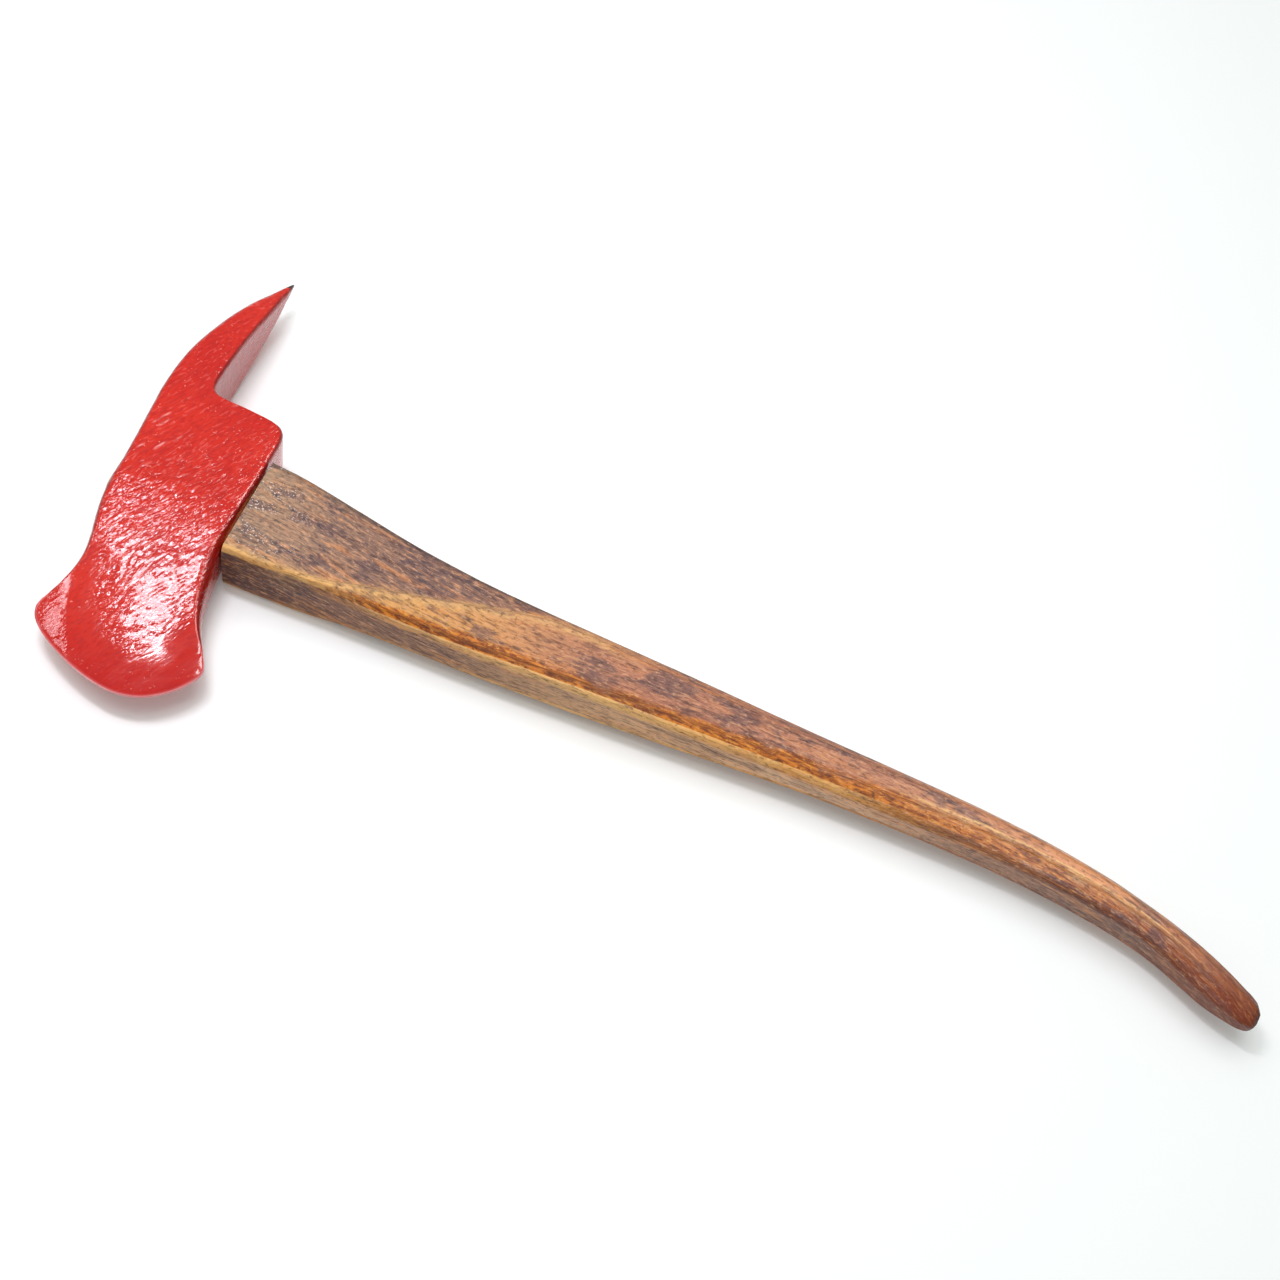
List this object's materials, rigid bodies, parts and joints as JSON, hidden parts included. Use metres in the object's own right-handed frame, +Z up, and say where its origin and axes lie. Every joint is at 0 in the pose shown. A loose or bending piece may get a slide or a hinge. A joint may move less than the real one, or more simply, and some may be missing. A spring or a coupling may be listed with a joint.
{
  "type": "fire axe",
  "caption": "Pick-head fire axe: a painted steel head with a flared blade and a tapering pick, wedged on a curved hardwood handle that ends in a hooked grip.",
  "frame": {"origin": "middle of the eye on the head's lower cheek, in the plane of the surface that the axe lies on", "axes": "+X from the crown of the head down the handle, +Y along the head towards the pick, +Z up through the head's thickness"},
  "size_m": [0.7449, 0.3091, 0.044],
  "materials": {
    "red_paint": "thick brushed gloss enamel",
    "stained_wood": "dark stain under satin varnish",
    "plain_wood": "bare sawn wood",
    "bare_steel": "bare, dull from hammering"
  },
  "bodies": {
    "root": {"axe_head": "red_paint", "handle": "stained_wood", "eye_wedge": "plain_wood", "cross_wedge_pick_side": "bare_steel", "cross_wedge_blade_side": "bare_steel"}
  },
  "joints": []
}
